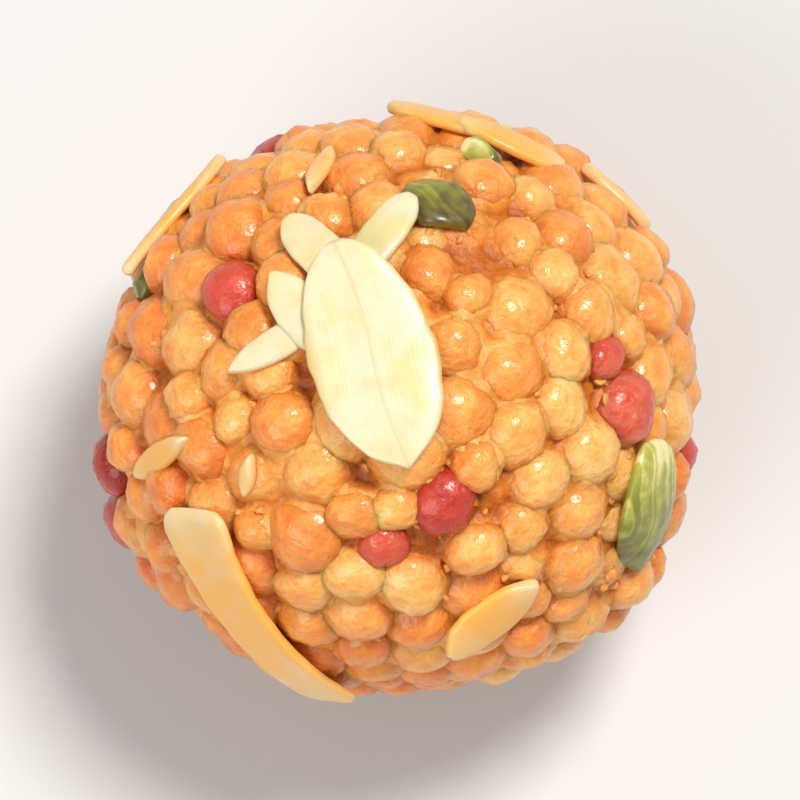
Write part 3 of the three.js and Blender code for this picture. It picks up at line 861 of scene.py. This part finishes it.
# the boondi of the next layer down are spread evenly, and show as soft mounds in the gaps
turns = np.arange(count) * GOLDEN_ANGLE + 1
heights = 1 - (2 * np.arange(count) + 1) / count
reaches = np.sqrt(1 - heights**2)
below = np.column_stack([reaches * np.cos(turns), reaches * np.sin(turns), heights])
below_size = BOONDI_WIDTH / 2 * chance.uniform(1 - BOONDI_SIZE_SPREAD, 1 + BOONDI_SIZE_SPREAD, count)
below_centre = below * (skin_radius(below) - LOWER_LAYER - below_size)[:, None]
layers = (np.vstack([outward, below]), np.vstack([centre, below_centre]), np.hstack([radius, below_size]))
for way_out, middle, size in zip(*layers):
    upward = directions @ way_out
    near = upward > NEARBY
    # where a line from the middle of the ball leaves the drop, which is wider than it is deep
    square = upward[near] ** 2 + (1 - upward[near] ** 2) / BOONDI_SQUEEZE**2
    half = upward[near] * np.linalg.norm(middle)
    inside = half**2 - square * (middle @ middle - size**2)
    leaves = (half + np.sqrt(np.clip(inside, 0, None))) / square
    reach[near] += np.where(inside > 0, np.exp((leaves - level[near]) / DRAWN_UP), 0)
height = level + DRAWN_UP * np.log(reach) - BELOW_CROWNS
height += FULLER_BY * waves(directions * LADOO_RADIUS, FULLER_PATCH, 5)
for way_out, size in zip(outward[is_red], radius[is_red]):
    edge = math.cos(CLEAR_OF_RED * size / LADOO_RADIUS)
    height -= OFF_THE_RED * np.sqrt(np.clip((directions @ way_out - edge) / (1 - edge), 0, 1))
bits = waves(directions * LADOO_RADIUS, CRUSHED_BITS, 1)
clumps = waves(directions * LADOO_RADIUS, CRUSHED_CLUMPS, 4)
height += CRUSHED * bits * clumps
mesh = mesh_from("syrup_filling", directions * height[:, None] + BALL_CENTRE, filling_faces)
finish_skin(mesh, LOWEST_FILLING)

# Set sugar syrup with crushed boondi in it: amber, clear at the edges, wet; paler where it lies shallow near
# the crowns and darker deep in the gaps, partly from crushed boondi paste and syrup, partly as painted shade
syrup, tree, shader = new_material("saffron_syrup")
spot = add_node(tree, "ShaderNodeTexCoord").outputs["Object"]
grit = add_node(tree, "ShaderNodeTexNoise", {"Vector": spot, "Scale": 1 / (0.8 * MM), "Detail": 4})
depth_in = add_node(tree, "ShaderNodeAttribute", attribute_name="depth").outputs["Fac"]
# Painted shade: the colour darkens with depth below the skin, partly paler crushed boondi near the crowns
# and darker syrup deep down, partly shade painted into the gaps
paste_and_shade_by_depth = add_node(
    tree,
    "ShaderNodeMapRange",
    {"Value": depth_in, "From Min": 2.2, "From Max": 0.6, "To Min": 0.0, "To Max": 0.75},
    clamp=True,
).outputs["Result"]
paste_shade_and_grit = add_node(
    tree, "ShaderNodeMath", {0: grit.outputs["Fac"], 1: 0.6, 2: paste_and_shade_by_depth}, operation="MULTIPLY_ADD"
).outputs[0]
clouded_and_shaded = add_node(tree, "ShaderNodeValToRGB", {"Fac": paste_shade_and_grit})
clouded_and_shaded.color_ramp.elements[0].position = 0.2
clouded_and_shaded.color_ramp.elements[0].color = linear("#A85008")
clouded_and_shaded.color_ramp.elements[1].position = 1.0
clouded_and_shaded.color_ramp.elements[1].color = linear("#F4B060")
for position, colour in ((0.45, "#CC7018"), (0.7, "#E8953C")):
    clouded_and_shaded.color_ramp.elements.new(position).color = linear(colour)
tree.links.new(clouded_and_shaded.outputs["Color"], shader.inputs["Base Color"])
shader.inputs["Roughness"].default_value = 0.48
shader.inputs["IOR"].default_value = 1.47
shader.inputs["Subsurface Weight"].default_value = 0.4
shader.inputs["Subsurface Radius"].default_value = (1.0, 0.4, 0.12)
shader.inputs["Subsurface Scale"].default_value = 1.8 * MM
shader.inputs["Coat Weight"].default_value = 0.1
shader.inputs["Coat Roughness"].default_value = 0.2
wet = add_node(
    tree, "ShaderNodeBump", {"Height": grit.outputs["Fac"], "Strength": 0.8, "Distance": 0.4 * MM}
)
tree.links.new(wet.outputs["Normal"], shader.inputs["Normal"])
tree.links.new(wet.outputs["Normal"], shader.inputs["Coat Normal"])
mesh.materials.append(syrup)
filling = new_object("syrup_filling", mesh)
stand_for_ladoo(filling)

# ---------------------------------------------------------------- Crumbs
# Bits of broken boondi and of half-dissolved sugar, rolled into the gaps with the syrup. They lie where the
# filling shows between the drops.
CRUMB_SMALLEST, CRUMB_LARGEST = 0.2 * MM, 0.7 * MM  # half their widths
CRUMBS_PER_SQUARE_METRE = 0.9e5
CRUMB_SEGMENTS, CRUMB_RINGS = 8, 5
LOWEST_CRUMB = 0.2 * MM  # above the table
crumbling, given, result = geometry_tree("crumbling", ["Smallest", "Largest", "Per square metre"])
gap = add_node(crumbling, "GeometryNodeInputNamedAttribute", {"Name": "depth"}, data_type="FLOAT")
openness = add_node(
    crumbling,
    "ShaderNodeMapRange",
    {"Value": gap.outputs["Attribute"], "From Min": 1.1, "From Max": 1.7},
    clamp=True,
).outputs["Result"]
density = add_node(
    crumbling, "ShaderNodeMath", {0: openness, 1: given["Per square metre"]}, operation="MULTIPLY"
).outputs[0]
strewn_points = add_node(
    crumbling,
    "GeometryNodeDistributePointsOnFaces",
    {"Mesh": given["Geometry"], "Density": density, "Seed": 3},
)
crumb = add_node(
    crumbling, "GeometryNodeMeshUVSphere", {"Segments": CRUMB_SEGMENTS, "Rings": CRUMB_RINGS, "Radius": 1.0}
)
any_turn = add_node(
    crumbling,
    "FunctionNodeRandomValue",
    {0: (0, 0, 0), 1: (6.3, 6.3, 6.3), "Seed": 1},
    data_type="FLOAT_VECTOR",
)
lowest = add_node(crumbling, "ShaderNodeCombineXYZ", {key: given["Smallest"] for key in "XYZ"})
highest = add_node(crumbling, "ShaderNodeCombineXYZ", {key: given["Largest"] for key in "XYZ"})
any_size = add_node(
    crumbling,
    "FunctionNodeRandomValue",
    {0: lowest.outputs[0], 1: highest.outputs[0], "Seed": 2},
    data_type="FLOAT_VECTOR",
)
laid = add_node(
    crumbling,
    "GeometryNodeInstanceOnPoints",
    {
        "Points": strewn_points.outputs["Points"],
        "Instance": crumb.outputs["Mesh"],
        "Rotation": any_turn.outputs[0],
        "Scale": any_size.outputs[0],
    },
)
real = add_node(crumbling, "GeometryNodeRealizeInstances", {"Geometry": laid.outputs["Instances"]})
where = add_node(crumbling, "GeometryNodeInputPosition").outputs[0]
fineness = add_node(crumbling, "ShaderNodeMath", {0: 1.6, 1: given["Largest"]}, operation="DIVIDE")
dents = add_node(
    crumbling, "ShaderNodeTexNoise", {"Vector": where, "Scale": fineness.outputs[0], "Detail": 1.0}
)
signed = add_node(
    crumbling, "ShaderNodeVectorMath", {0: dents.outputs["Color"], 1: (0.5, 0.5, 0.5)}, operation="SUBTRACT"
)
dented = add_node(
    crumbling, "ShaderNodeVectorMath", {0: signed.outputs[0], "Scale": given["Largest"]}, operation="SCALE"
).outputs[0]
torn = add_node(
    crumbling, "GeometryNodeSetPosition", {"Geometry": real.outputs["Geometry"], "Offset": dented}
)
smooth = add_node(crumbling, "GeometryNodeSetShadeSmooth", {"Geometry": torn.outputs["Geometry"]})
coloured = add_node(
    crumbling,
    "GeometryNodeSetMaterial",
    {"Geometry": smooth.outputs["Geometry"], "Material": given["Material"]},
)
crumbling.links.new(coloured.outputs["Geometry"], result["Geometry"])

# Soaked crumb of gram flour with sugar grains: paler and duller than whole boondi
crumb_skin, tree, shader = new_material("gram_flour_crumb")
spot = add_node(tree, "ShaderNodeTexCoord").outputs["Object"]
grains = add_node(
    tree, "ShaderNodeTexNoise", {"Vector": spot, "Scale": 1 / (0.7 * MM), "Detail": 3}
).outputs["Fac"]
shade = add_node(
    tree, "ShaderNodeMix", {0: grains, 6: linear("#DE7A2C"), 7: linear("#F6B464")}, data_type="RGBA"
).outputs[2]
tree.links.new(shade, shader.inputs["Base Color"])
shader.inputs["Roughness"].default_value = 0.35
shader.inputs["IOR"].default_value = 1.47
shader.inputs["Subsurface Weight"].default_value = 0.5
shader.inputs["Subsurface Radius"].default_value = (1.0, 0.45, 0.15)
shader.inputs["Subsurface Scale"].default_value = 0.8 * MM
rough = add_node(tree, "ShaderNodeBump", {"Height": grains, "Strength": 0.6, "Distance": 0.2 * MM})
tree.links.new(rough.outputs["Normal"], shader.inputs["Normal"])
sown = {"Smallest": CRUMB_SMALLEST, "Largest": CRUMB_LARGEST, "Per square metre": CRUMBS_PER_SQUARE_METRE}
mesh = grow("crumbs", filling.data.copy(), crumbling, sown | {"Material": crumb_skin})
finish_skin(mesh, LOWEST_CRUMB)
stand_for_ladoo(new_object("crumbs", mesh))
